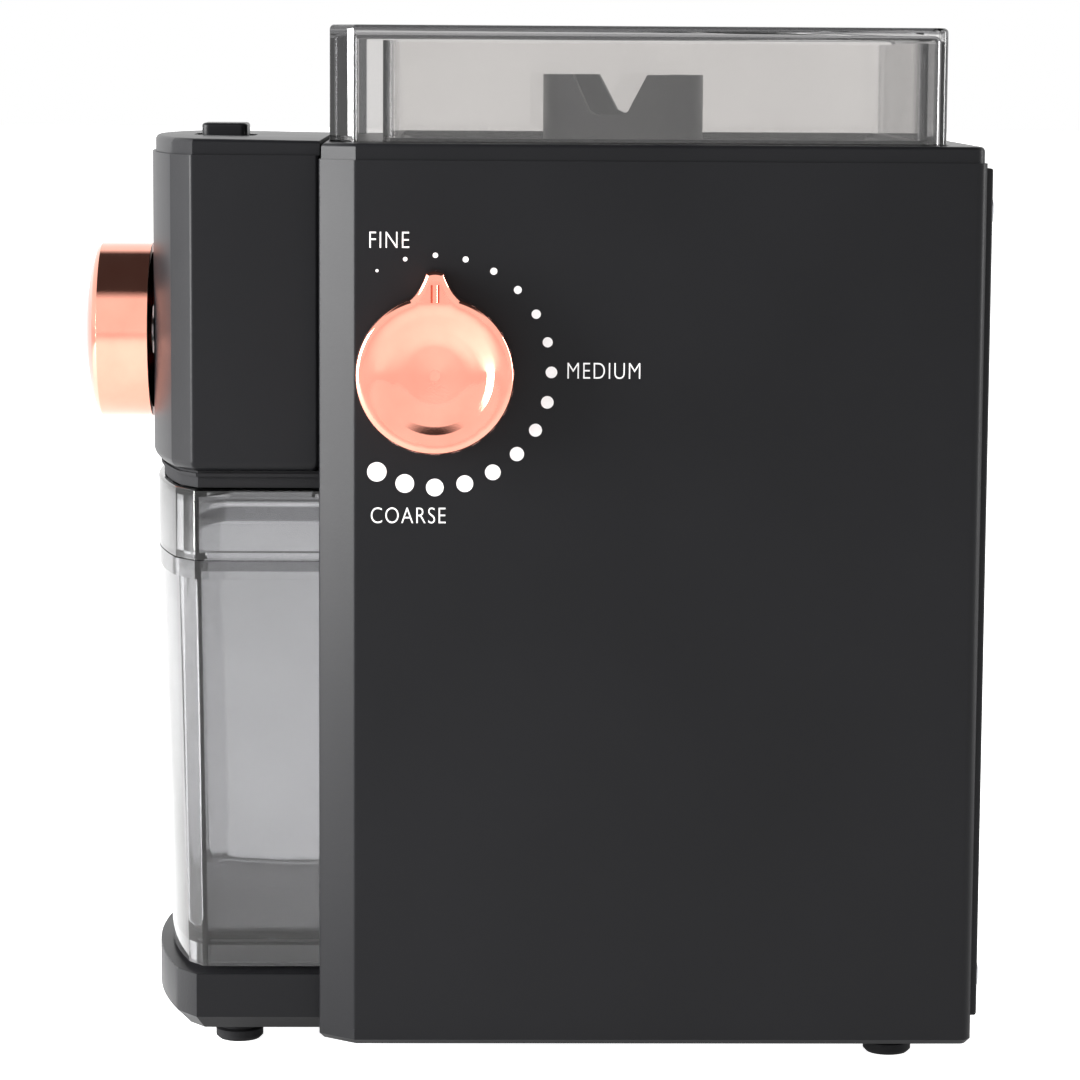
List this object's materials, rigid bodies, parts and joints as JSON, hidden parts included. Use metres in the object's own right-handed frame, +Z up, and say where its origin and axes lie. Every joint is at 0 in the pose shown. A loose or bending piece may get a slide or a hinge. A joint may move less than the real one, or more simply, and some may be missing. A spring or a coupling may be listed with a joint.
{
  "type": "burr coffee grinder",
  "caption": "Upright burr coffee grinder: covered bean hopper, side grind-setting knob, front amount selector, and a clear ground-coffee container that slides out.",
  "frame": {"origin": "on the supporting surface, midway between the four feet", "axes": "+Z up, the container and the amount selector face -Y, the grind knob is on the +X side"},
  "size_m": [0.1426, 0.2216, 0.25],
  "materials": {
    "body_black": "satin moulded charcoal-black plastic",
    "rose_gold": "vacuum-metallised rose-gold plastic, polished",
    "clear_smoke": "clear lightly smoked moulded plastic",
    "dark_smoke": "clear smoked moulded plastic with dark edges",
    "grip_grey": "satin dark grey moulded plastic",
    "funnel_black": "satin black moulded plastic",
    "rubber_black": "matt black soft rubber",
    "seal_clear": "translucent silicone",
    "screw_steel": "zinc-plated steel",
    "burr_steel": "hardened ground steel",
    "motor_steel": "drawn steel can and laminated cores",
    "bush_brass": "sintered bronze",
    "gear_nylon": "natural nylon",
    "board_green": "coated circuit board with dark components",
    "switch_black": "switch housings"
  },
  "bodies": {
    "housing": {"main_shell": "body_black", "base_plate": "body_black", "feet": "rubber_black", "base_screws": "screw_steel", "rear_cover": "body_black", "rear_frame": "funnel_black", "rear_screws": "screw_steel", "inlet_bush": "rubber_black", "top_deck": "body_black", "bay_liner": "funnel_black", "head_shell": "body_black", "head_cover": "body_black", "neck_seal": "rubber_black", "front_plinth": "body_black", "knob_bush": "bush_brass", "worm_bracket": "funnel_black", "chamber_housing": "funnel_black", "shaft_bearings": "burr_steel", "chute": "funnel_black", "mechanism_frame": "funnel_black", "gearbox_housing": "gear_nylon", "gearbox_cover": "gear_nylon", "idler_pin": "screw_steel", "motor_can": "motor_steel", "motor_cap": "funnel_black", "motor_bushes": "bush_brass", "motor_stator": "motor_steel", "motor_mounts": "rubber_black", "motor_screws": "screw_steel", "circuit_board": "board_green", "hopper_wall": "clear_smoke", "hopper_funnel": "funnel_black", "timer_switch": "switch_black", "start_switch": "switch_black", "cover_switch": "switch_black"},
    "grind_knob": {"grind_knob": "rose_gold", "knob_shaft": "screw_steel"},
    "adjusting_ring": {"adjusting_ring": "gear_nylon"},
    "upper_burr": {"burr_holder": "grip_grey", "upper_burr": "burr_steel", "upper_burr_screws": "screw_steel"},
    "burr_drive": {"burr_shaft": "screw_steel", "burr_carrier": "gear_nylon", "carrier_nut": "screw_steel", "lower_burr": "burr_steel", "lower_burr_screws": "screw_steel", "output_gear": "gear_nylon"},
    "idler": {"idler_gear": "gear_nylon"},
    "rotor": {"motor_rotor": "motor_steel", "motor_pinion": "bush_brass", "motor_fan": "gear_nylon"},
    "selector_knob": {"selector_knob": "rose_gold", "selector_shaft": "screw_steel"},
    "start_button": {"start_button": "body_black", "button_spring": "screw_steel"},
    "container": {"container_box": "clear_smoke", "container_lid": "clear_smoke", "container_seal": "seal_clear"},
    "hopper_cover": {"hopper_cover": "dark_smoke"}
  },
  "joints": [
    {"name": "grind_knob_turn", "type": "hinge", "parent": "housing", "child": "grind_knob", "pos_m": [0, -0.0322, 0.1683], "axis": [-1, 0, 0], "range_deg": [-30, 210]},
    {"name": "adjusting_ring_turn", "type": "hinge", "parent": "housing", "child": "adjusting_ring", "pos_m": [0, 0.0145, 0.1683], "axis": [0, 0, 1], "range_deg": [-0.6, 3.6]},
    {"name": "upper_burr_lift", "type": "slide", "parent": "adjusting_ring", "child": "upper_burr", "axis": [0, 0, 1], "range_m": [-0.00011, 0.00071]},
    {"name": "rotor_spin", "type": "hinge", "parent": "housing", "child": "rotor", "pos_m": [0, 0.058, 0.085], "axis": [0, 0, 1], "continuous": true},
    {"name": "idler_spin", "type": "hinge", "parent": "housing", "child": "idler", "pos_m": [-0.02066, 0.03625, 0.138], "axis": [0, 0, 1], "continuous": true},
    {"name": "burr_spin", "type": "hinge", "parent": "housing", "child": "burr_drive", "pos_m": [0, 0.0145, 0.15], "axis": [0, 0, 1], "continuous": true},
    {"name": "selector_turn", "type": "hinge", "parent": "housing", "child": "selector_knob", "pos_m": [0, -0.1, 0.1735], "axis": [0, 1, 0], "range_deg": [0, 270]},
    {"name": "start_press", "type": "slide", "parent": "housing", "child": "start_button", "axis": [0, 0, -1], "range_m": [0, 0.0018], "stiffness_N_per_m": 300, "deforming": ["button_spring"]},
    {"name": "container_slide", "type": "slide", "parent": "housing", "child": "container", "axis": [0, -1, 0], "range_m": [0, 0.065]},
    {"name": "cover_lift", "type": "slide", "parent": "housing", "child": "hopper_cover", "axis": [0, 0, 1], "range_m": [0, 0.035]}
  ],
  "couplings": [
    {"joint": "adjusting_ring_turn", "follows": "grind_knob_turn", "ratio": 0.016667},
    {"joint": "upper_burr_lift", "follows": "grind_knob_turn", "m_per_rad": 0.00019099},
    {"joint": "idler_spin", "follows": "rotor_spin", "ratio": -0.25},
    {"joint": "burr_spin", "follows": "rotor_spin", "ratio": 0.076087}
  ]
}
